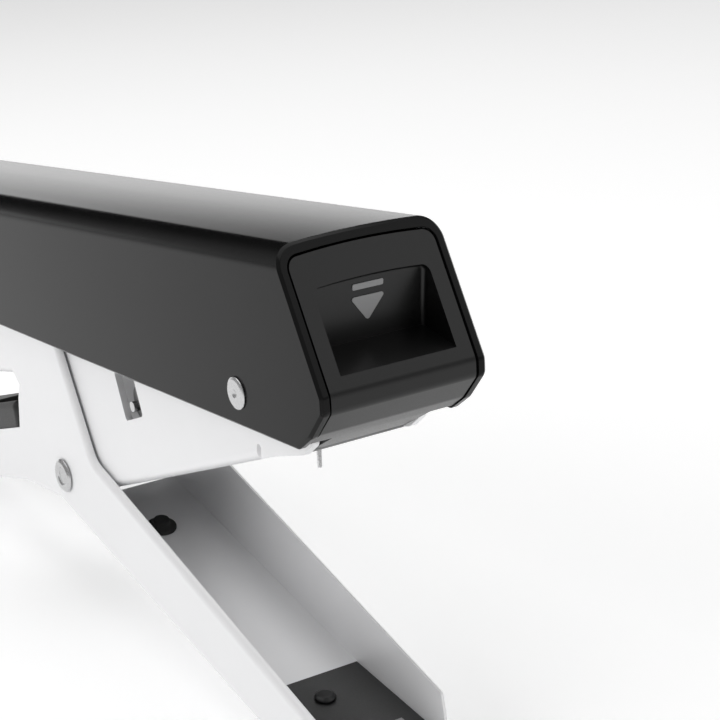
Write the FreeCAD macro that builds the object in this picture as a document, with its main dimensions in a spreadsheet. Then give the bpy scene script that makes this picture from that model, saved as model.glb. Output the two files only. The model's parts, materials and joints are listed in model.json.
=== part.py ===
"""Long reach stapling plier: a straight metal frame with a lower handle, a long folded jaw,
a slim black cover that is the upper handle, and a thumb button in the cover's open nose.

Everything is drawn side-on (X forward, Z up) with the middle plane at Y = 0.
Two drawing frames are used: the side frame, whose zero is the lowest point of the
nose's sloping front, and the track frame, which lies along the staple track.
"""
import FreeCAD, Part
import math
import os

doc = FreeCAD.newDocument("stapler")
sheet = doc.addObject("Spreadsheet::Sheet", "Sizes")

SIZES = {
    # cover
    "cover_width": 23.2, "cover_wall": 1.15, "cover_top_wall": 1.2, "cover_corner": 3.0, "cover_crown": 0.5,
    "cover_rim": 0.35, "cap_gap": 0.3, "cover_top_slope": 11.8, "cover_edge_slope": 9.33,
    "cover_length": 178.0,
    # frame channel, jaw channel and the gaps between them
    "frame_width": 16.4, "jaw_width": 19.2, "sheet_metal": 1.0, "bend_radius": 1.3,
    # staple track
    "track_slope": 27.4, "magazine_width": 10.8, "magazine_wall": 0.6, "magazine_length": 65.4,
    "magazine_height": 6.6, "staple_width": 9.2, "staple_wire": 0.5, "staple_leg": 4.8,
    "strip_length": 44.0, "driver_width": 9.2, "driver_thickness": 0.5,
    # pins
    "axle_radius": 2.2, "axle_head_radius": 2.6, "rivet_radius": 1.5, "rivet_head_radius": 2.1,
    "arm_pin_radius": 1.6, "roller_radius": 2.2, "guide_pin_radius": 0.75, "lever_pin_radius": 1.5,
    "rod_radius": 0.8, "rod_bore": 0.85,
    "running_gap": 0.05, "roller_gap": 0.45, "head_thickness": 0.45,
    # button
    "button_foot_width": 14.0, "recess_width": 16.2, "recess_corner": 1.0,
    # stance: the slope of the line through the jaw's tip and the handle's heel
    "stance_angle": 7.55, "stance_shift": 90.85, "stance_lift": 56.0,
}
for row, (alias, value) in enumerate(SIZES.items(), start=1):
    sheet.set("A%d" % row, alias)
    sheet.set("B%d" % row, str(value))
    sheet.setAlias("B%d" % row, alias)
doc.recompute()


def size(alias):
    """The value of one named cell."""
    return float(sheet.get(alias))


def vec(x, y, z):
    return FreeCAD.Vector(x, y, z)


# ---- frames and the points that several pieces share (side frame, x and z in mm) ----
AXLE = (-77.8, -42.35)
NOSE_RIVET = (-19.5, -6.4)
ARM_PIN = (-110.0, -21.0)
EXIT = (-12.3, -12.6)
TOP_FRONT = (-10.9, 15.4)
TRACK = math.radians(size("track_slope"))
TOP_SLOPE = math.radians(size("cover_top_slope"))


def rotation(degrees):
    """A turn about Y that lifts +X by this many degrees."""
    return FreeCAD.Rotation(vec(0, 1, 0), -degrees)


def placed(x, y, z, turn=None):
    """A placement at a point, with a turn or none."""
    return FreeCAD.Placement(vec(x, y, z), turn or FreeCAD.Rotation())


STANCE = placed(size("stance_shift"), 0, size("stance_lift"), rotation(-size("stance_angle")))
TRACK_FRAME = STANCE.multiply(placed(EXIT[0], 0, EXIT[1], rotation(size("track_slope"))))


def from_track(x, z):
    """Track frame to side frame."""
    return (EXIT[0] + x * math.cos(TRACK) - z * math.sin(TRACK),
            EXIT[1] + x * math.sin(TRACK) + z * math.cos(TRACK))


def along(point, degrees, distance, offset=0.0):
    """From a point, go a distance in a direction, then an offset to its left."""
    a = math.radians(degrees)
    return (point[0] + distance * math.cos(a) - offset * math.sin(a),
            point[1] + distance * math.sin(a) + offset * math.cos(a))


# ---- drawing helpers ----
def outline(points):
    """Closed line through (x, z) or (x, z, radius) corners; a radius rounds its corner."""
    count = len(points)
    starts, ends, arcs = [], [], []
    for i, corner in enumerate(points):
        here = vec(corner[0], corner[1], 0)
        radius = corner[2] if len(corner) > 2 else 0.0
        back = vec(points[i - 1][0], points[i - 1][1], 0).sub(here).normalize()
        ahead = vec(points[(i + 1) % count][0], points[(i + 1) % count][1], 0).sub(here).normalize()
        half = back.getAngle(ahead) / 2.0
        if radius <= 0 or half > math.pi / 2 - 1e-4:
            starts.append(here)
            ends.append(here)
            arcs.append(None)
            continue
        reach = radius / math.tan(half)
        first = here.add(vec(back.x, back.y, 0).multiply(reach))
        last = here.add(vec(ahead.x, ahead.y, 0).multiply(reach))
        middle = vec(back.x + ahead.x, back.y + ahead.y, 0).normalize()
        through = here.add(middle.multiply(radius / math.sin(half) - radius))
        starts.append(first)
        ends.append(last)
        arcs.append(Part.Arc(first, through, last))
    geometry = []
    for i in range(count):
        if arcs[i]:
            geometry.append(arcs[i])
        following = starts[(i + 1) % count]
        if ends[i].sub(following).Length > 1e-6:
            geometry.append(Part.LineSegment(ends[i], following))
    return geometry


def circle(point, radius):
    return [Part.Circle(vec(point[0], point[1], 0), vec(0, 0, 1), radius)]


def new_body(label, frame=STANCE):
    body = doc.addObject("PartDesign::Body", label)
    body.Label = label
    body.Placement = frame
    return body


def sketch_on(body, geometry, role="XZ_Plane", offset=0.0):
    plane = [p for p in body.Origin.OriginFeatures if p.Role == role][0]
    sketch = body.newObject("Sketcher::SketchObject", body.Label + "_sketch")
    sketch.AttachmentSupport = [(plane, "")]
    sketch.MapMode = "FlatFace"
    sketch.AttachmentOffset = FreeCAD.Placement(vec(0, 0, offset), FreeCAD.Rotation())
    sketch.addGeometry(geometry, False)
    doc.recompute()
    return sketch


def extrude(body, kind, geometry, width, role="XZ_Plane"):
    """Pad or pocket a side outline equally to both sides; width is a number or an expression."""
    feature = body.newObject("PartDesign::" + kind, body.Label + "_" + kind.lower())
    feature.Profile = sketch_on(body, geometry, role)
    feature.Midplane = True
    if isinstance(width, str):
        feature.setExpression("Length", width)
    else:
        feature.Length = width
    body.Tip = feature
    doc.recompute()
    return feature


def pad(body, geometry, width, role="XZ_Plane"):
    return extrude(body, "Pad", geometry, width, role)


def pocket(body, geometry, width, role="XZ_Plane"):
    return extrude(body, "Pocket", geometry, width, role)


def dress(body, kind, wanted, amount):
    """Fillet or chamfer every edge of the tip that wanted(edge) picks."""
    base = body.Tip
    names = ["Edge%d" % (i + 1) for i, edge in enumerate(base.Shape.Edges) if wanted(edge)]
    feature = body.newObject("PartDesign::" + kind, body.Label + "_" + kind.lower())
    feature.Base = (base, names)
    if kind == "Fillet":
        feature.Radius = amount
    else:
        feature.Size = amount
    body.Tip = feature
    doc.recompute()


def side_edges(body, half_width, test):
    """Edges that lie on a side face, at |y| = half_width, and whose middle passes the test."""
    def wanted(edge):
        ends = [v.Point for v in edge.Vertexes]
        middle = edge.valueAt((edge.FirstParameter + edge.LastParameter) / 2)
        flat = all(abs(abs(p.y) - half_width) < 1e-4 for p in ends + [middle])
        return flat and test(middle.x, middle.z)
    return wanted


def pin(label, point, radius, length, frame=STANCE):
    """Round pin across the stapler: a Part cylinder whose radius and length are cells or numbers."""
    cylinder = doc.addObject("Part::Cylinder", label + "_shaft")
    cylinder.setExpression("Radius", "Sizes." + radius)
    cylinder.Height = length
    turn = FreeCAD.Rotation(vec(1, 0, 0), -90)
    cylinder.Placement = frame.multiply(FreeCAD.Placement(vec(point[0], -length / 2, point[1]), turn))
    cylinder.Label = label
    doc.recompute()
    return cylinder


def revolved(label, frame, profile):
    """A turned piece: the outline is drawn in XZ beside the Z axis."""
    body = new_body(label, frame)
    sketch = sketch_on(body, outline(profile))
    turn = body.newObject("PartDesign::Revolution", label + "_turn")
    turn.Profile = sketch
    turn.ReferenceAxis = (sketch, ["V_Axis"])
    turn.Angle = 360
    body.Tip = turn
    doc.recompute()
    return body


def box(body, x0, x1, z0, z1, width, kind="Pad"):
    return extrude(body, kind, outline([(x0, z0), (x1, z0), (x1, z1), (x0, z1)]), width)


def arch(half, top, corner, crown):
    """Line over an arched top: rounded corners at y = -half and half, and the height of its two ends."""
    bend = (half ** 2 + crown ** 2) / (2 * crown)
    hub = vec(0, top - bend, 0)
    height = hub.y + math.sqrt((bend - corner) ** 2 - (half - corner) ** 2)
    lines, reach = [], {}
    for side in (-1, 1):
        eye = vec(side * (half - corner), height, 0)
        out = eye.sub(hub).normalize()
        reach[side] = hub.add(vec(out.x, out.y, 0).multiply(bend))
        middle = vec(out.x + side, out.y, 0).normalize().multiply(corner)
        lines.append(Part.Arc(vec(side * half, height, 0), eye.add(middle), reach[side]))
    lines.append(Part.Arc(reach[-1], vec(0, top, 0), reach[1]))
    return lines, height


def closed_by(arch_lines, half, height, level, spread=0.0):
    """Closes an arch by a line at another level: above it when that level is higher, else below it."""
    corners = [vec(-half, height, 0), vec(-half - spread, height, 0), vec(-half - spread, level, 0),
               vec(half + spread, level, 0), vec(half + spread, height, 0), vec(half, height, 0)]
    lines = [Part.LineSegment(a, b) for a, b in zip(corners, corners[1:]) if a.sub(b).Length > 1e-6]
    return arch_lines + lines


def cut_section(body, geometry, slope, start, length):
    """Cuts a cross-section backwards along a line that rises by the slope, from its start distance."""
    feature = body.newObject("PartDesign::Pocket", body.Label + "_section")
    sketch = sketch_on(body, geometry, "YZ_Plane")
    ahead = vec(0, start * math.sin(slope), start * math.cos(slope))
    sketch.AttachmentOffset = FreeCAD.Placement(ahead, FreeCAD.Rotation(vec(1, 0, 0), -math.degrees(slope)))
    feature.Profile = sketch
    feature.Length = length
    body.Tip = feature
    doc.recompute()


# ---- cover ----
# height of the cover's top above the side frame's zero, square to the top
TOP_HEIGHT = -TOP_FRONT[0] * math.sin(TOP_SLOPE) + TOP_FRONT[1] * math.cos(TOP_SLOPE)
AHEAD = 12.0


def cover_top(x):
    return TOP_FRONT[1] + (x - TOP_FRONT[0]) * math.tan(TOP_SLOPE)


def cover_edge(x):
    return -8.5 + (x + 5.4) * math.tan(math.radians(size("cover_edge_slope")))


def cover_shell():
    """Long black cover, open below and in front; its top is slightly arched."""
    body = new_body("cover_shell")
    half = size("cover_width") / 2
    rear = -size("cover_length")
    pad(body, outline([TOP_FRONT, (0, 0, 1.2), (0.2, -2, 1.2), (-2.6, -6, 3), (-5.4, -8.5, 1.2),
                       (rear + 3, cover_edge(rear + 3)), (rear, cover_top(rear) - 8, 7),
                       (rear + 1, cover_top(rear + 1), 6)]), "Sizes.cover_width")
    over, height = arch(half, TOP_HEIGHT, size("cover_corner"), size("cover_crown"))
    cut_section(body, closed_by(over, half, height, TOP_HEIGHT + 9, 4), TOP_SLOPE, AHEAD, -rear + 3 * AHEAD)
    wall = size("cover_top_wall")
    low = wall + size("cover_corner")
    inside = [(8, cover_top(8) - low), (8, -30), (rear + 6, cover_edge(rear + 6) - 20),
              (rear + 1.5, cover_edge(rear) - 12), (rear + 1.5, cover_top(rear) - 8, 3),
              (rear + 2.5, cover_top(rear + 2.5) - low)]
    pocket(body, outline(inside), "Sizes.cover_width - 2 * Sizes.cover_wall")
    inner_half = half - size("cover_wall")
    inner_corner = size("cover_corner") - size("cover_wall")
    under, height = arch(inner_half, TOP_HEIGHT - wall, inner_corner, size("cover_crown"))
    cut_section(body, closed_by(under, inner_half, height, height - 4), TOP_SLOPE, AHEAD, -rear + AHEAD - 6)
    pocket(body, circle(NOSE_RIVET, size("rivet_radius") + size("running_gap")), 40)
    dress(body, "Chamfer", mouth_edges(half, inner_half), size("cover_rim"))
    return body


def mouth_edges(half, inner_half):
    """The outer edges of the cover's open front, over the top and down both sides."""
    run, rise = TOP_FRONT

    def wanted(edge):
        middle = edge.valueAt((edge.FirstParameter + edge.LastParameter) / 2)
        points = [v.Point for v in edge.Vertexes] + [middle]
        sloping = all(abs(p.x * rise - p.z * run) < 0.02 * rise for p in points)
        outer = abs(middle.y) > inner_half + 0.1 or middle.z > cover_top(middle.x) - 0.5
        if sloping and middle.z > 1.0:
            return outer and abs(points[0].y - points[1].y) + abs(points[0].z - points[1].z) > 1.4
        return all(abs(abs(p.y) - half) < 1e-4 for p in points) and middle.x > -5.2
    return wanted


def cover_bracket():
    """Steel bracket under the cover's top whose two ears carry the rollers in a slot."""
    lean = 180 + 9.1
    width, metal, flange = 12.4, 1.0, 9.0
    front_x, front_z = along(NOSE_RIVET, lean, 86.5, 4.1)
    back_x, back_z = along(NOSE_RIVET, lean, 108.5, 4.1)
    under = size("cover_top_wall") + 0.25
    body = new_body("cover_bracket")
    pad(body, outline([(front_x, cover_top(front_x) - under), (front_x, front_z, 2), (back_x, back_z, 2),
                       (back_x, cover_top(back_x) - under)]), width)
    inner_front, inner_back = front_x + flange, back_x - flange
    pocket(body, outline([(inner_front, cover_top(inner_front) - under - 1.2), (inner_front, -60),
                          (inner_back, -60), (inner_back, cover_top(inner_back) - under - 1.2)]),
           width - 2 * metal)
    half = size("roller_radius") + size("roller_gap")
    ends = [along(NOSE_RIVET, lean, 91.67 - half - 0.2, side) for side in (half, -half)]
    ends += [along(NOSE_RIVET, lean, 103.3 + half + 0.2, side) for side in (-half, half)]
    pocket(body, outline([(x, z, half - 0.05) for x, z in ends]), 30)
    return body


def nose_rivets():
    """Two shouldered rivets, one in each side of the cover's nose."""
    frame_half = size("frame_width") / 2
    cover_half = size("cover_width") / 2
    inner = cover_half - size("cover_wall")
    shaft, head = size("rivet_radius"), size("rivet_head_radius")
    profile = [(0, frame_half - 1.0), (shaft, frame_half - 1.0), (shaft, frame_half), (2.2, frame_half),
               (2.2, inner - 0.1), (shaft, inner - 0.1), (shaft, cover_half + 0.05),
               (head, cover_half + 0.05),
               (head, cover_half + 0.25, 0.15), (head - 0.5, cover_half + size("head_thickness")),
               (0.6, cover_half + size("head_thickness")), (0, cover_half + 0.1)]
    halves = []
    for side, turn in (("left", -90), ("right", 90)):
        spot = FreeCAD.Placement(vec(NOSE_RIVET[0], 0, NOSE_RIVET[1]), FreeCAD.Rotation(vec(1, 0, 0), turn))
        halves.append(revolved("nose_rivet_" + side, STANCE.multiply(spot), profile))
    pair = doc.addObject("Part::Compound", "nose_rivets")
    pair.Label = "nose_rivets"
    pair.Links = halves
    doc.recompute()
    return pair


# ---- button ----
# front of the recess's floor, its back wall, and where its arched top begins
RECESS_LIP = (-1.05, 1.6)
RECESS_BACK = (-8.2, 2.25)
RECESS_TOP = 10.55
# lowest corner of the cap, from which the foot goes on
CAP_FOOT = (-4.9, -7.85)


def button_cap():
    """Cap that fills the nose, with a deep thumb recess and a narrower foot below."""
    body = new_body("button_cap")
    half = size("cover_width") / 2 - size("cover_wall") - size("cap_gap")
    pad(body, outline([(-10.79, 15.0), (-0.15, 0, 2.0), (0.05, -2.1, 1.4), (-2.65, -5.85, 3),
                       CAP_FOOT, (-9.2, -4.2, 1), (-11.5, 3, 2), (-16.5, 14.0)]), 2 * half)
    corner = size("cover_corner") - size("cover_wall") - size("cap_gap")
    top = TOP_HEIGHT - size("cover_top_wall") - size("cap_gap")
    over, height = arch(half, top, corner, size("cover_crown"))
    cut_section(body, closed_by(over, half, height, top + 9, 4), TOP_SLOPE, AHEAD, 3 * AHEAD)
    lift = (RECESS_BACK[1] - RECESS_LIP[1]) / (RECESS_BACK[0] - RECESS_LIP[0])
    shoulder = RECESS_TOP - 2.5
    pocket(body, outline([(4, RECESS_LIP[1] + (4 - RECESS_LIP[0]) * lift), RECESS_BACK,
                          (RECESS_BACK[0], shoulder), (4, shoulder)]), "Sizes.recess_width")
    recess_half = size("recess_width") / 2
    under, height = arch(recess_half, RECESS_TOP, size("recess_corner"), 0.3)
    arched = closed_by(under, recess_half, height, shoulder - 0.5)
    cut_section(body, arched, 0.0, AHEAD, AHEAD - RECESS_BACK[0])
    pad(body, outline([CAP_FOOT, (-10.55, -11.95, 0.5), (-11.5, -10.2), (-9.0, -4.4), (-6, -4.4)]),
        "Sizes.button_foot_width")
    return body


def button_icon():
    """Thin bar and triangle let into the recess's back wall."""
    spot = placed(RECESS_BACK[0], 0, 0)
    body = new_body("button_icon", STANCE.multiply(spot))
    shapes = {"bar": [(-2.15, 8.65, 0.2), (2.15, 8.65, 0.2), (2.15, 9.4, 0.2), (-2.15, 9.4, 0.2)],
              "triangle": [(-2.5, 7.75, 0.3), (0, 4.5, 0.35), (2.5, 7.75, 0.3)]}
    for name, points in shapes.items():
        feature = body.newObject("PartDesign::Pad", "icon_pad_" + name)
        feature.Profile = sketch_on(body, outline(points), "YZ_Plane")
        feature.Length = 0.1
        feature.AllowMultiFace = True
        body.Tip = feature
        doc.recompute()
    return body


# ---- frame ----
HANDLE_TOP = (-98.3, -38.1)
HANDLE_TOP_SLOPE, HANDLE_BOTTOM_SLOPE = 23.5, 20.6
HEEL_X = -171.0


def handle_top(x):
    return HANDLE_TOP[1] + (x - HANDLE_TOP[0]) * math.tan(math.radians(HANDLE_TOP_SLOPE))


def handle_bottom(x):
    return -50.6 + (x + 93.6) * math.tan(math.radians(HANDLE_BOTTOM_SLOPE))


def track_bottom(x):
    return EXIT[1] + (x - EXIT[0]) * math.tan(TRACK)


GRIP_DEPTH = 4.6


def frame_channel():
    """Folded sheet: side walls from the nose to the heel, and a floor under the track and the handle."""
    body = new_body("frame_channel")
    wall = size("sheet_metal")
    meet = -84.0
    pad(body, outline([(-9.6, -11.75, 0.8), (-7.2, -9.4, 0.9), (-8.8, -7.4, 1), (-16, -3.0, 2),
                       (-24, -2.4, 3), (-60, -9.5, 8), (-93.5, -23, 4), (-97.6, -37.4, 2),
                       (-97.9, handle_top(-97.9) - GRIP_DEPTH, 0.3),
                       (HEEL_X, handle_top(HEEL_X) - GRIP_DEPTH), (HEEL_X, handle_bottom(HEEL_X), 3),
                       (-98, handle_bottom(-98), 8), (meet, track_bottom(meet) + 0.3, 10),
                       (-20.9, track_bottom(-20.9)), (-20.9, -14.6, 0.45), (-19.9, -14.6, 0.45),
                       (-19.9, track_bottom(-19.9) + 0.1), (-15.9, -14.4)]), "Sizes.frame_width")
    half = size("frame_width") / 2

    def under(x, z):
        return HEEL_X + 5 < x < -21.5 and z < max(track_bottom(x), handle_bottom(x)) + 1.7
    dress(body, "Fillet", side_edges(body, half, under), size("bend_radius"))
    lift = wall / math.cos(TRACK)
    track_back = -59.0
    pocket(body, outline([(5, 30), (5, -40), (-20.1, -40), (-20.1, track_bottom(-20.1) + lift),
                          (track_back, track_bottom(track_back) + lift), (track_back, -90), (-100, -90),
                          (-100, handle_bottom(-100) + wall),
                          (HEEL_X + wall, handle_bottom(HEEL_X + wall) + wall), (HEEL_X + wall, 30)]),
           "Sizes.frame_width - 2 * Sizes.sheet_metal")
    pocket(body, circle(AXLE, size("axle_radius")), 40)
    pocket(body, circle(NOSE_RIVET, size("rivet_radius")), 40)
    pocket(body, circle(LEVER_PIN, size("lever_pin_radius")), 40)
    slot = [from_track(x, z) for x, z in ((-47, 9.2), (-41, 9.2), (-41, 16.5), (-47, 16.5))]
    pocket(body, outline([(x, z, 0.5) for x, z in slot]), 40)
    return body


LEVER_PIN = from_track(-26.5, 13.0)
GUIDE_PIN = from_track(-44.0, 10.9)


def nose_plate():
    body = new_body("nose_plate", TRACK_FRAME)
    box(body, 0.8, 1.4, -0.4, 12.0, "Sizes.frame_width - 2 * Sizes.sheet_metal")
    return body


def axle():
    half = size("jaw_width") / 2
    radius, head, thick = size("axle_radius"), size("axle_head_radius"), 0.35
    profile = [(0, -half - 0.1 - thick), (1.2, -half - 0.1 - thick), (1.5, -half - 0.35 - thick),
               (head - 0.4, -half - 0.35 - thick),
               (head, -half - thick), (head, -half - 0.1), (radius, -half - 0.1), (radius, half + 0.1),
               (head, half + 0.1), (head, half + thick), (head - 0.4, half + 0.35 + thick),
               (1.5, half + 0.35 + thick), (1.2, half + 0.1 + thick), (0, half + 0.1 + thick)]
    spot = FreeCAD.Placement(vec(AXLE[0], 0, AXLE[1]), FreeCAD.Rotation(vec(1, 0, 0), 90))
    return revolved("axle", STANCE.multiply(spot), profile)


def lower_grip():
    """Black bar that closes the lower handle's open top; notched in front for the bracket."""
    body = new_body("lower_grip")
    depth = GRIP_DEPTH
    front, rear = -99.4, HEEL_X - 2.0
    pad(body, outline([(front, handle_top(front), 1.5), (-98.3, handle_top(-98.3) - depth + 0.05),
                       (HEEL_X, handle_top(HEEL_X) - depth + 0.05), (HEEL_X, handle_bottom(HEEL_X) + 1.0),
                       (rear, handle_bottom(HEEL_X) + 1.0, 1.5), (rear, handle_top(rear), 3)]),
        "Sizes.frame_width")
    half = size("frame_width") / 2

    def upper(x, z):
        return z > handle_top(x) - 0.6 and front - 2 > x > rear + 4
    dress(body, "Fillet", side_edges(body, half, upper), 1.2)
    tongue_front, tongue_rear = front - 3, HEEL_X + 3
    pad(body, outline([(tongue_front, handle_top(tongue_front) - depth + 1),
                       (tongue_front, handle_top(tongue_front) - depth - 2),
                       (tongue_rear, handle_top(tongue_rear) - depth - 2),
                       (tongue_rear, handle_top(tongue_rear) - depth + 1)]),
        "Sizes.frame_width - 2 * Sizes.sheet_metal")
    pocket(body, outline([(front + 5, -30), (front + 5, -54), (-101, -54), (-101, handle_top(-101) - 3),
                          (-123, handle_top(-123) - 3, 1), (-125, handle_top(-125) + 4)]), 13.6)
    return body


# ---- track pieces, drawn in the track frame ----
MAG_FRONT = -0.65


def magazine_channel():
    body = new_body("magazine_channel", TRACK_FRAME)
    rear = MAG_FRONT - size("magazine_length")
    wall = size("magazine_wall")
    box(body, rear, MAG_FRONT, 1.0, 1.0 + size("magazine_height"), "Sizes.magazine_width")
    inside = "Sizes.magazine_width - 2 * Sizes.magazine_wall"
    box(body, rear + 0.8, MAG_FRONT + 5, 1.0 + wall, 12, inside, "Pocket")
    return body


def staple_strip():
    body = new_body("staple_strip", TRACK_FRAME)
    floor = 1.0 + size("magazine_wall") + 0.05
    top = floor + size("staple_leg") + size("staple_wire")
    rear = -0.7 - size("strip_length")
    box(body, rear, -0.7, floor, top, "Sizes.staple_width")
    inside = "Sizes.staple_width - 2 * Sizes.staple_wire"
    box(body, rear - 2, 2, floor - 2, top - size("staple_wire"), inside, "Pocket")
    return body


def ribbon(points, width):
    """Closed line round a path, half the width to each side."""
    sides = {-1: [], 1: []}
    for i, (y, z) in enumerate(points):
        before = points[max(i - 1, 0)]
        after = points[min(i + 1, len(points) - 1)]
        first = vec(y - before[0], z - before[1], 0) if i else vec(after[0] - y, after[1] - z, 0)
        second = vec(after[0] - y, after[1] - z, 0) if i < len(points) - 1 else first
        bisector = vec(*first.normalize()).add(vec(*second.normalize())).normalize()
        reach = width / 2 / math.cos(first.getAngle(bisector))
        for side in sides:
            sides[side].append((y - side * bisector.y * reach, z + side * bisector.x * reach))
    return outline(sides[1] + sides[-1][::-1])


def front_staple():
    """The loose first staple, tipped in the exit slot so that its sprung near leg shows."""
    roll, crown = math.radians(17), 8.7
    near = (-4.3, 2.15)
    far = (near[0] + crown * math.cos(roll), near[1] + crown * math.sin(roll))
    leg = size("staple_leg") - size("staple_wire") / 2
    far_tip = (far[0] + leg * math.sin(roll), far[1] - leg * math.cos(roll))
    body = new_body("front_staple", TRACK_FRAME.multiply(placed(0.33, 0, 0)))
    path = [(-5.15, -2.5), (-4.35, 0.8), near, far, far_tip]
    pad(body, ribbon(path, size("staple_wire")), "Sizes.staple_wire", "YZ_Plane")
    return body


def driver_blade():
    body = new_body("driver_blade", TRACK_FRAME)
    box(body, -0.55, -0.55 + size("driver_thickness"), 7.4, 18.4, "Sizes.driver_width")
    return body


def driver_holder():
    body = new_body("driver_holder", TRACK_FRAME)
    pad(body, outline([(-5, 15, 1), (-0.55, 15), (-0.55, 19), (-5, 19, 1)]), 13.0)
    return body


def driver_lever():
    """Rocker over the magazine: its nose presses the holder, its tail carries the guide pin."""
    body = new_body("driver_lever", TRACK_FRAME)
    pad(body, outline([(-4.4, 19.2, 2), (-1.4, 19.2, 1), (-1.4, 21.5, 1), (-7, 23, 3), (-26, 18.5, 12),
                       (-46.2, 13.2, 2),
                       (-46.2, 9.3, 1.5), (-42, 8.6, 3), (-26.5, 9.4, 10), (-12, 15.5, 10)]), 13.2)
    pocket(body, outline([(-8, 20.6, 1), (-26, 16.6, 12), (-60, 7.5), (-60, 0), (-8, 0)]), 10.8)
    pocket(body, circle((-26.5, 13.0), size("lever_pin_radius") + size("running_gap")), 40)
    pocket(body, circle((-44.0, 10.9), size("guide_pin_radius")), 40)
    return body


def pusher():
    body = new_body("pusher", TRACK_FRAME)
    pad(body, outline([(-53, 1.8), (-44.9, 1.8), (-44.9, 6.6), (-53, 6.6, 1)]), 7.8)
    for radius, start in ((1.95, -46.0), (size("rod_bore"), 0.0)):
        bore = body.newObject("PartDesign::Pocket", "pusher_bore")
        bore.Profile = sketch_on(body, circle((0, ROD_HEIGHT), radius), "YZ_Plane", start)
        bore.Length = 80
        bore.Reversed = False
        body.Tip = bore
        doc.recompute()
    return body


ROD_HEIGHT = 4.2


def rod_piece(label, outer, inner, start, end):
    """Round piece along the track's middle, solid when inner is zero."""
    spot = FreeCAD.Placement(vec(start, 0, ROD_HEIGHT), FreeCAD.Rotation(vec(0, 1, 0), 90))
    length = end - start
    profile = [(inner, 0), (outer, 0), (outer, length), (inner, length)]
    return revolved(label, TRACK_FRAME.multiply(spot), profile)


# ---- jaw ----
def jaw_floor(x):
    """Height of the channel floor's upper face."""
    return -47.0 - 0.119 * (x - AXLE[0])


def jaw_channel():
    body = new_body("jaw_channel")
    metal = size("sheet_metal")
    pad(body, outline([(-3.9, -47.8, 0.8), (-2.5, -53), (-1.9, jaw_floor(-1.9) - metal, 1), (-86, -47.0, 3),
                       (-91.6, -40.2, 4),
                       (-94.0, -33.9, 1), (-96.4, -32.3, 1), (-106, -35.6, 7), (-119, -28, 8), (-116, -13, 7),
                       (-84.5, -12.5, 3), (-68.0, -36.2, 4), (-62, -37.2)]), "Sizes.jaw_width")
    inner = "Sizes.jaw_width - 2 * Sizes.sheet_metal"
    half = size("jaw_width") / 2
    dress(body, "Fillet", side_edges(body, half, lambda x, z: z < jaw_floor(x) and -60 < x < -2.5),
          size("bend_radius"))
    web_rear = -77.3
    pocket(body, outline([(10, 10), (10, jaw_floor(10)), (web_rear, jaw_floor(web_rear)), (web_rear, -60),
                          (-140, -60), (-140, 10)]), inner)
    pocket(body, circle(AXLE, size("axle_radius") + size("running_gap")), 40)
    pocket(body, circle(ARM_PIN, size("arm_pin_radius")), 40)
    return body


PAD_REAR, PAD_FRONT = (-23.9, -53.35), (-3.6, -53.85)
DIE = (-9.3, -4.5)


def pad_face(x):
    return PAD_REAR[1] + (x - PAD_REAR[0]) * (PAD_FRONT[1] - PAD_REAR[1]) / (PAD_FRONT[0] - PAD_REAR[0])


def anvil_pad():
    body = new_body("anvil_pad")
    pad(body, outline([PAD_REAR, PAD_FRONT, (PAD_FRONT[0], jaw_floor(PAD_FRONT[0])),
                       (PAD_REAR[0], jaw_floor(PAD_REAR[0]))]),
        "Sizes.jaw_width - 2 * Sizes.sheet_metal - 0.1")
    box(body, DIE[0], DIE[1], -54.6, -50, 12.4, "Pocket")
    return body


def anvil_die():
    """Steel insert with the two clinching grooves that curl the staple's legs."""
    body = new_body("anvil_die")
    proud = 0.1
    pad(body, outline([(DIE[0], -54.6), (DIE[1], -54.6), (DIE[1], pad_face(DIE[1]) + proud),
                       (DIE[0], pad_face(DIE[0]) + proud)]), 12.4)
    groove = body.newObject("PartDesign::Pocket", "clinching_grooves")
    middle = (DIE[0] + DIE[1]) / 2
    geometry = []
    for side in (-1, 1):
        inner, outer = side * 2.0, side * 5.6
        geometry += outline([(middle - 1.2, inner), (middle + 1.2, inner), (middle + 1.2, outer),
                             (middle - 1.2, outer)])
    groove.Profile = sketch_on(body, geometry, "XY_Plane", -50.0)
    groove.Length = 10
    body.Tip = groove
    doc.recompute()
    return body


def pad_rivet():
    """Low stud that holds the pad down."""
    profile = [(0, 0.05), (1.5, 0.05), (1.5, 0.45), (1.0, 0.8), (0, 0.8)]
    return revolved("pad_rivet", STANCE.multiply(placed(-18.4, 0, -53.5)), profile)


def jaw_bumper():
    """Rubber stop on the jaw's floor, below the magazine's rear."""
    spot = placed(-65.2, 0, jaw_floor(-65.2), rotation(-6.8))
    profile = [(0, 0), (2.3, 0), (2.3, 0.5), (1.3, 0.8), (1.2, 1.6), (0, 1.6)]
    return revolved("jaw_bumper", STANCE.multiply(spot), profile)


def arm_rollers():
    """Two rollers that ride in the bracket's slots."""
    inner = size("arm_pin_radius") + size("running_gap")
    outer = size("roller_radius")
    rings = []
    for side, start in (("left", -6.4), ("right", 5.0)):
        spot = FreeCAD.Placement(vec(ARM_PIN[0], start, ARM_PIN[1]), FreeCAD.Rotation(vec(1, 0, 0), -90))
        profile = [(inner, 0), (outer, 0), (outer, 1.4), (inner, 1.4)]
        rings.append(revolved("roller_" + side, STANCE.multiply(spot), profile))
    pair = doc.addObject("Part::Compound", "arm_rollers")
    pair.Label = "arm_rollers"
    pair.Links = rings
    doc.recompute()
    return pair


def jaw_spring():
    """Coil round the axle, shown as the sleeve that it fills."""
    spot = FreeCAD.Placement(vec(AXLE[0], -4.5, AXLE[1]), FreeCAD.Rotation(vec(1, 0, 0), -90))
    return revolved("jaw_spring", STANCE.multiply(spot), [(2.3, 0), (3.6, 0), (3.6, 9), (2.3, 9)])


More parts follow.
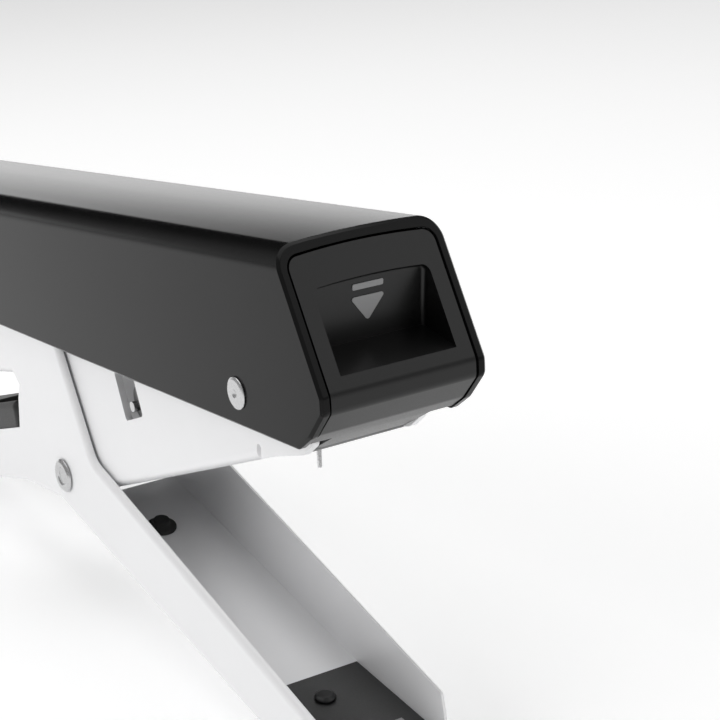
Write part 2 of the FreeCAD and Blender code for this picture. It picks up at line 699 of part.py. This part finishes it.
def build():
    """Every piece, in the order they are put together."""
    spring_start = MAG_FRONT + 0.8 - size("magazine_length")
    pieces = [cover_shell(), cover_bracket(), nose_rivets(), button_cap(), button_icon(),
              frame_channel(), nose_plate(), axle(), lower_grip(), magazine_channel(), staple_strip(),
              front_staple(), driver_blade(), driver_holder(), driver_lever(), pusher(),
              pin("guide_pin", GUIDE_PIN, "guide_pin_radius", 16.2),
              pin("lever_pin", LEVER_PIN, "lever_pin_radius", 16.4),
              pin("arm_pin", ARM_PIN, "arm_pin_radius", 19.2),
              rod_piece("pusher_rod", size("rod_radius"), 0, spring_start, -45.2),
              rod_piece("pusher_spring", 1.6, 1.0, spring_start, -57.4),
              jaw_channel(), anvil_pad(), anvil_die(), pad_rivet(), jaw_bumper(), arm_rollers(),
              jaw_spring()]
    doc.recompute()
    for piece in doc.Objects:
        if "Invalid" in piece.State or "Error" in piece.State:
            raise RuntimeError("%s failed: %s" % (piece.Label, piece.State))
    for piece in pieces:
        if piece.Shape.isNull() or not piece.Shape.isValid():
            raise RuntimeError("%s has no valid shape" % piece.Label)
    return pieces


os.makedirs("parts", exist_ok=True)
for piece in build():
    piece.Shape.exportStep("parts/%s.step" % piece.Label)
    b = piece.Shape.BoundBox
    print("%-18s volume %9.1f  x %7.1f %7.1f  y %6.1f %6.1f  z %6.1f %6.1f" % (
        piece.Label, piece.Shape.Volume, b.XMin, b.XMax, b.YMin, b.YMax, b.ZMin, b.ZMax))
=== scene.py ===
"""Looks of the stapling plier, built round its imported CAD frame. Lengths are metres unless a name says mm."""
import json
import math

import bmesh
import bpy
from mathutils import Matrix, Vector


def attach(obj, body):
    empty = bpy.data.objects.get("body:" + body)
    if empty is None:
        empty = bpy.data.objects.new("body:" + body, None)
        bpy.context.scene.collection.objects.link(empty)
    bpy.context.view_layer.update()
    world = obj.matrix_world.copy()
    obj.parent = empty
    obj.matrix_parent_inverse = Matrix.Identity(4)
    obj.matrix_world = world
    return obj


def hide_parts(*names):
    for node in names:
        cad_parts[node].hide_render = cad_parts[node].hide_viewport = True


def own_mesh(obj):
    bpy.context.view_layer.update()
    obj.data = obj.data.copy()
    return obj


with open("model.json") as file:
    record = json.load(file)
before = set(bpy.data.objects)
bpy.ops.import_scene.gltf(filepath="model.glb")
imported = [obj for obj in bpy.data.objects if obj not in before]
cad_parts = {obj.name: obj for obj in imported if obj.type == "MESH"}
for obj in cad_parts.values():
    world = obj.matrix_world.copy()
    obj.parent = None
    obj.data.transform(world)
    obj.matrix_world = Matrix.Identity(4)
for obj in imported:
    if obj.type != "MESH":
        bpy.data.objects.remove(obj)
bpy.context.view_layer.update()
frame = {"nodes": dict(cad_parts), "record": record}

MM = 0.001

# ---- the side frame: X forward, Z up, zero at the foot of the nose's sloping front, in mm ----
AXLE_MM = (-77.8, -42.35)
NOSE_RIVET_MM = (-19.5, -6.4)
EXIT_MM = (-12.3, -12.6)
TRACK_SLOPE = math.radians(27.4)
ROD_HEIGHT_MM = 4.2
RECESS_BACK_MM = (-8.2, 2.25)
RECESS_FLOOR_MM = RECESS_BACK_MM[1] + 0.4
FOOT_HALF_MM = 7.0
FOOT_SPAN_MM = (-11.2, -4.5)
FOOT_UNDERSIDE_MM = -7.9
ON_PLANE_MM = 0.02


def joint(name):
    return next(j for j in frame["record"]["behaviour"]["joints"] if j["name"] == name)


def side_to_row():
    """Matrix from the side frame in mm to the row frame, from the two hinges that both know."""
    axle = Vector(joint("jaw_pivot")["pos_m"])
    nose = Vector(joint("cover_pivot")["pos_m"])
    drawn = (NOSE_RIVET_MM[0] - AXLE_MM[0], NOSE_RIVET_MM[1] - AXLE_MM[1])
    lean = math.atan2(drawn[1], drawn[0]) - math.atan2(nose.z - axle.z, nose.x - axle.x)
    turn = Matrix.Rotation(lean, 4, "Y") @ Matrix.Scale(MM, 4)
    shift = axle - turn @ Vector((AXLE_MM[0], 0, AXLE_MM[1]))
    return Matrix.Translation(shift) @ turn


SIDE = side_to_row()
TRACK = SIDE @ Matrix.Translation((EXIT_MM[0], 0, EXIT_MM[1])) @ Matrix.Rotation(-TRACK_SLOPE, 4, "Y")


# ---- materials ----
def new_material(name):
    mat = bpy.data.materials.new(name)
    mat.use_nodes = True
    nodes = mat.node_tree.nodes
    return mat, nodes, mat.node_tree.links, nodes["Principled BSDF"]


def link_noise(nodes, links, scale_mm, detail=3.0, stretch=(1, 1, 1)):
    """Noise whose features are about scale_mm across, fixed to the object."""
    place = nodes.new("ShaderNodeTexCoord")
    spread = nodes.new("ShaderNodeMapping")
    spread.inputs["Scale"].default_value = [s / (scale_mm * MM) for s in stretch]
    noise = nodes.new("ShaderNodeTexNoise")
    noise.inputs["Scale"].default_value = 1.0
    noise.inputs["Detail"].default_value = detail
    links.new(place.outputs["Object"], spread.inputs["Vector"])
    links.new(spread.outputs["Vector"], noise.inputs["Vector"])
    return noise


def surface(name, dark, light, rough, metallic=0.0, grain_mm=0.25, bump_mm=0.004, mottle_mm=9.0,
            stretch=(1, 1, 1), specular=0.5):
    """Base colour that drifts between two tones, uneven gloss and a fine moulded, coated or drawn grain."""
    mat, nodes, links, shader = new_material(name)
    mottle = link_noise(nodes, links, mottle_mm)
    tone = nodes.new("ShaderNodeMix")
    tone.data_type = "RGBA"
    tone.inputs["A"].default_value = (*dark, 1)
    tone.inputs["B"].default_value = (*light, 1)
    links.new(mottle.outputs["Fac"], tone.inputs["Factor"])
    links.new(tone.outputs["Result"], shader.inputs["Base Color"])
    grain = link_noise(nodes, links, grain_mm, 2.0, stretch)
    gloss = nodes.new("ShaderNodeMapRange")
    gloss.inputs["From Min"].default_value = 0.3
    gloss.inputs["From Max"].default_value = 0.7
    gloss.inputs["To Min"].default_value = rough[0]
    gloss.inputs["To Max"].default_value = rough[1]
    links.new(grain.outputs["Fac"], gloss.inputs["Value"])
    links.new(gloss.outputs["Result"], shader.inputs["Roughness"])
    bump = nodes.new("ShaderNodeBump")
    bump.inputs["Distance"].default_value = bump_mm * MM
    bump.inputs["Strength"].default_value = 1.0
    links.new(grain.outputs["Fac"], bump.inputs["Height"])
    links.new(bump.outputs["Normal"], shader.inputs["Normal"])
    shader.inputs["Metallic"].default_value = metallic
    shader.inputs["Specular IOR Level"].default_value = specular
    return mat


def grey(value):
    return (value, value, value * 1.01)


LOOKS = {
    "cover_black": surface("cover_black", grey(0.004), grey(0.007), (0.18, 0.2), bump_mm=0.0002,
                           specular=0.125),
    "button_black": surface("button_black", grey(0.002), grey(0.0035), (0.28, 0.34), bump_mm=0.0015,
                            specular=0.4),
    "icon_grey": surface("icon_grey", grey(0.27), grey(0.3), (0.42, 0.5)),
    "grip_black": surface("grip_black", grey(0.008), grey(0.013), (0.42, 0.5), bump_mm=0.006),
    "pad_black": surface("pad_black", grey(0.024), grey(0.034), (0.42, 0.5), bump_mm=0.003),
    "rubber_black": surface("rubber_black", grey(0.008), grey(0.013), (0.65, 0.75), bump_mm=0.01),
    "pale_metal": surface("pale_metal", grey(0.82), grey(0.85), (0.34, 0.42), metallic=0.15, bump_mm=0.0015,
                          grain_mm=0.18),
    "plated_steel": surface("plated_steel", grey(0.50), grey(0.60), (0.2, 0.3), metallic=1.0, bump_mm=0.0015,
                            grain_mm=0.15),
    "plain_steel": surface("plain_steel", grey(0.34), grey(0.42), (0.28, 0.4), metallic=1.0, bump_mm=0.002,
                           grain_mm=0.12, stretch=(0.15, 1, 1)),
    "dark_steel": surface("dark_steel", grey(0.035), grey(0.05), (0.3, 0.4), metallic=1.0, grain_mm=0.12),
    "spring_steel": surface("spring_steel", grey(0.4), grey(0.48), (0.25, 0.35), metallic=1.0),
    "staple_wire": surface("staple_wire", grey(0.72), grey(0.78), (0.25, 0.32), metallic=0.6, grain_mm=0.1),
}


# ---- mesh tools ----
KEEN_ANGLE = math.radians(28)
EDGE_STEPS = 2


def finish_piece(bm, name, body, slot, nodes=(), sharp=32):
    """Turns a bmesh in the row frame into a shown piece that rides on a body."""
    mesh = bpy.data.meshes.new(name)
    bmesh.ops.recalc_face_normals(bm, faces=bm.faces)
    bm.to_mesh(mesh)
    bm.free()
    mesh.polygons.foreach_set("use_smooth", [True] * len(mesh.polygons))
    mesh.set_sharp_from_angle(angle=math.radians(sharp))
    mesh.materials.append(LOOKS[slot])
    piece = bpy.data.objects.new(name, mesh)
    bpy.context.scene.collection.objects.link(piece)
    weighted = piece.modifiers.new("even_shading", "WEIGHTED_NORMAL")
    weighted.keep_sharp = True
    weighted.weight = 100
    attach(piece, body)
    if nodes:
        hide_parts(*nodes)
    return piece


def node_facts(node):
    """The body and material slot of a CAD node, from the record."""
    record = frame["record"]
    body = next(b for b, names in record["behaviour"]["bodies"].items() if node in names)
    slot = next(s["material_slot"] for s in record["subparts"] if s["node"] == node)
    return body, slot


def bevel_edges(bm, edges, width_mm, segments):
    bmesh.ops.bevel(bm, geom=edges, offset=width_mm * MM, offset_type="OFFSET", segments=segments,
                    profile=0.5, affect="EDGES", clamp_overlap=True)


def softened(node, edge_mm, wider=()):
    """A CAD node redrawn with its sharp edges broken, as real mouldings and pressings have.

    wider lists (test, width, segments) for edges with a larger radius; a test takes an edge's two ends
    in the side frame."""
    bm = bmesh.new()
    bm.from_mesh(frame["nodes"][node].data)
    bmesh.ops.remove_doubles(bm, verts=bm.verts, dist=2e-6)
    bmesh.ops.dissolve_limit(bm, angle_limit=math.radians(0.5), verts=bm.verts, edges=bm.edges)
    to_side = SIDE.inverted()
    for test, width_mm, steps in wider:
        chosen = [e for e in bm.edges if test(*[to_side @ v.co for v in e.verts])]
        bevel_edges(bm, chosen, width_mm, steps)
    keen = [e for e in bm.edges if len(e.link_faces) == 2 and e.calc_face_angle() > KEEN_ANGLE]
    bevel_edges(bm, keen, edge_mm, EDGE_STEPS)
    body, slot = node_facts(node)
    return finish_piece(bm, node + "_body", body, slot, [node], sharp=40)


def round_recess_back(a, b):
    """The edges round the thumb recess's back wall, all but the one along its floor."""
    on_wall = all(abs(p.x - RECESS_BACK_MM[0]) < ON_PLANE_MM for p in (a, b))
    return on_wall and max(a.z, b.z) > RECESS_FLOOR_MM


def recess_floor_rim(a, b):
    """Where the thumb recess's floor meets its back wall."""
    return all(abs(p.x - RECESS_BACK_MM[0]) < ON_PLANE_MM and p.z < RECESS_FLOOR_MM for p in (a, b))


def foot_ends(a, b):
    """The lower edge of each end of the button's foot."""
    return all(abs(abs(p.y) - FOOT_HALF_MM) < ON_PLANE_MM and FOOT_SPAN_MM[0] < p.x < FOOT_SPAN_MM[1]
               and p.z < FOOT_UNDERSIDE_MM for p in (a, b))


def paint_node(node):
    """A CAD node that stays as it is and takes its procedural look."""
    slots = frame["nodes"][node].data.materials
    slots.clear()
    slots.append(LOOKS[node_facts(node)[1]])


def tube(bm, points, radius, sides=10):
    """A round wire along points, closed at both ends."""
    rings = []
    up = Vector((0, 1, 0))
    for i, point in enumerate(points):
        ahead = (points[min(i + 1, len(points) - 1)] - points[max(i - 1, 0)]).normalized()
        across = ahead.cross(up)
        across = across.normalized() if across.length > 1e-6 else Vector((1, 0, 0))
        up = across.cross(ahead).normalized()
        rings.append([bm.verts.new(point + radius * (math.cos(t) * across + math.sin(t) * up))
                      for t in (2 * math.pi * k / sides for k in range(sides))])
    for ring, following in zip(rings, rings[1:]):
        for k in range(sides):
            bm.faces.new((ring[k], ring[(k + 1) % sides], following[(k + 1) % sides], following[k]))
    bm.faces.new(rings[0][::-1])
    bm.faces.new(rings[-1])


def helix(place, radius_mm, pitch_mm, turns, steps=20):
    """Points of a coil along Z of a placing matrix that works in mm."""
    points = []
    for i in range(int(turns * steps) + 1):
        angle = 2 * math.pi * i / steps
        points.append(place @ Vector((radius_mm * math.cos(angle), radius_mm * math.sin(angle),
                                      pitch_mm * i / steps)))
    return points


def pusher_spring():
    """The push spring on its rod, coiled at one fixed length; the real spring shortens as the pusher is drawn
    back.
    """
    start, end, turns = -65.2, -46.4, 19
    radius, wire = 1.35, 0.2
    lay = TRACK @ Matrix.Translation((start, 0, ROD_HEIGHT_MM)) @ Matrix.Rotation(math.pi / 2, 4, "Y")
    bm = bmesh.new()
    tube(bm, helix(lay, radius, (end - start) / turns, turns), wire * MM, 8)
    piece = finish_piece(bm, "pusher_spring_coil", "frame", "spring_steel", ["pusher_spring"])
    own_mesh(piece)


def jaw_spring():
    """The opening spring wound round the axle."""
    length, turns = 8.2, 9
    radius, wire = 3.0, 0.38
    start = Matrix.Translation((AXLE_MM[0], -length / 2, AXLE_MM[1]))
    lay = SIDE @ start @ Matrix.Rotation(-math.pi / 2, 4, "X")
    bm = bmesh.new()
    tube(bm, helix(lay, radius, length / turns, turns, 28), wire * MM, 10)
    finish_piece(bm, "jaw_spring_coil", "frame", "spring_steel", ["jaw_spring"])


def staple_strip():
    """The glued strip of staples in the magazine, wire by wire."""
    low, leg, wire, half = 1.65, 4.8, 0.5, 4.6
    front, length = -0.7, 44.0
    pitch = 0.55
    bm = bmesh.new()
    profile = [(-half, 0), (-half, leg + wire), (half, leg + wire), (half, 0),
               (half - wire, 0), (half - wire, leg), (-half + wire, leg), (-half + wire, 0)]
    for i in range(int(length / pitch)):
        back = front - i * pitch
        loops = [[bm.verts.new(TRACK @ Vector((x, y, low + z))) for y, z in profile]
                 for x in (back, back - wire)]
        bm.faces.new(loops[0])
        bm.faces.new(loops[1][::-1])
        for k in range(len(profile)):
            following = (k + 1) % len(profile)
            bm.faces.new((loops[0][k], loops[1][k], loops[1][following], loops[0][following]))
    bevel_edges(bm, list(bm.edges), 0.06, 1)
    finish_piece(bm, "staple_strip_wires", "frame", "staple_wire", ["staple_strip"])


EDGES_MM = {"cover_shell": 0.1, "button_cap": 0.12, "frame_channel": 0.1, "jaw_channel": 0.12,
            "lower_grip": 0.3, "anvil_pad": 0.1, "anvil_die": 0.06, "nose_plate": 0.1, "driver_lever": 0.12,
            "cover_bracket": 0.12, "driver_holder": 0.2, "pusher": 0.2, "magazine_channel": 0.08,
            "axle": 0.1, "nose_rivets": 0.06, "pad_rivet": 0.1, "jaw_bumper": 0.15, "front_staple": 0.1}
WIDER = {"button_cap": [(round_recess_back, 0.6, 4), (foot_ends, 2.2, 1), (recess_floor_rim, 0.25, 2)]}
REDRAWN = {"pusher_spring": pusher_spring, "jaw_spring": jaw_spring, "staple_strip": staple_strip}
for each in frame["nodes"]:
    if each in REDRAWN:
        REDRAWN[each]()
    elif each in EDGES_MM:
        softened(each, EDGES_MM[each], WIDER.get(each, ()))
    else:
        paint_node(each)


# ---- camera, light and floor ----
FLOOR_GLOW = 0.26
WORLD_GLOW = 0.42
BAND_GLOW = 1.8
WALL_GLOW = 0.0
BAND_HEIGHTS = (0.02, 0.17)
REAR = (-0.86, 0.51, 0.0)
CAMERA_MM = Vector((176.2, -119.6, 92.75))
CAMERA_RIGHT = Vector((0.5408, 0.8411, 0.0))
CAMERA_UP = Vector((-0.3290, 0.2115, 0.9203))


def add_camera():
    turn = SIDE.to_3x3().normalized()
    right = (turn @ CAMERA_RIGHT).normalized()
    up = (turn @ CAMERA_UP).normalized()
    back = right.cross(up)
    data = bpy.data.cameras.new("camera")
    data.lens = 100
    data.sensor_width = 36
    data.clip_start = 0.01
    data.clip_end = 20
    camera = bpy.data.objects.new("camera", data)
    facing = Matrix((right, up, back)).transposed().to_4x4()
    camera.matrix_world = Matrix.Translation(SIDE @ CAMERA_MM) @ facing
    bpy.context.scene.collection.objects.link(camera)
    bpy.context.scene.camera = camera


def add_floor():
    bm = bmesh.new()
    bmesh.ops.create_grid(bm, x_segments=1, y_segments=1, size=3.0)
    mesh = bpy.data.meshes.new("floor")
    bm.to_mesh(mesh)
    bm.free()
    white = surface("floor_white", (0.93, 0.93, 0.93), (0.95, 0.95, 0.95), (0.9, 0.95), mottle_mm=200)
    glow = white.node_tree.nodes["Principled BSDF"]
    glow.inputs["Emission Color"].default_value = (1, 1, 1, 1)
    glow.inputs["Emission Strength"].default_value = FLOOR_GLOW
    mesh.materials.append(white)
    floor = bpy.data.objects.new("floor", mesh)
    bpy.context.scene.collection.objects.link(floor)


def add_area(name, place, aim, size, power, mirrored=True):
    """A softbox; one that isn't mirrored lights the object without showing in its gloss."""
    data = bpy.data.lights.new(name, "AREA")
    data.shape = "RECTANGLE"
    data.size, data.size_y = size
    data.energy = power
    light = bpy.data.objects.new(name, data)
    light.location = place
    light.visible_camera = False
    light.visible_glossy = mirrored
    light.rotation_euler = (Vector(aim) - Vector(place)).to_track_quat("-Z", "Y").to_euler()
    bpy.context.scene.collection.objects.link(light)


def add_world():
    """An even studio glow; behind the object a bright band lies along the horizon under a dark wall."""
    world = bpy.data.worlds.new("studio")
    bpy.context.scene.world = world
    world.use_nodes = True
    nodes, links = world.node_tree.nodes, world.node_tree.links
    toward = nodes.new("ShaderNodeTexCoord").outputs["Generated"]

    def ramp(source, start, end, low, high):
        step = nodes.new("ShaderNodeMapRange")
        step.interpolation_type = "SMOOTHSTEP"
        for key, value in (("From Min", start), ("From Max", end), ("To Min", low), ("To Max", high)):
            step.inputs[key].default_value = value
        links.new(source, step.inputs["Value"])
        return step.outputs["Result"]

    height = nodes.new("ShaderNodeSeparateXYZ")
    links.new(toward, height.inputs["Vector"])
    behind = nodes.new("ShaderNodeVectorMath")
    behind.operation = "DOT_PRODUCT"
    behind.inputs[1].default_value = REAR
    links.new(toward, behind.inputs[0])
    wall = ramp(height.outputs["Z"], *BAND_HEIGHTS, BAND_GLOW, WALL_GLOW)
    glow = nodes.new("ShaderNodeMix")
    links.new(ramp(behind.outputs["Value"], 0.5, 0.8, 0.0, 1.0), glow.inputs["Factor"])
    glow.inputs["A"].default_value = WORLD_GLOW
    links.new(wall, glow.inputs["B"])
    background = nodes["Background"]
    background.inputs["Color"].default_value = (1, 1, 1, 1)
    links.new(glow.outputs["Result"], background.inputs["Strength"])


add_camera()
add_floor()
add_world()
add_area("top_softbox", (-0.1, 0.0, 0.8), (0, 0, 0.03), (0.9, 0.9), 3.0)
add_area("left_softbox", (-0.3, -0.8, 0.45), (0, 0, 0.04), (0.9, 0.6), 3.0, mirrored=False)
add_area("front_softbox", (0.6, 0.5, 0.62), (0.08, 0, 0.06), (0.6, 0.6), 0.8)
bpy.context.scene.view_settings.view_transform = "Standard"
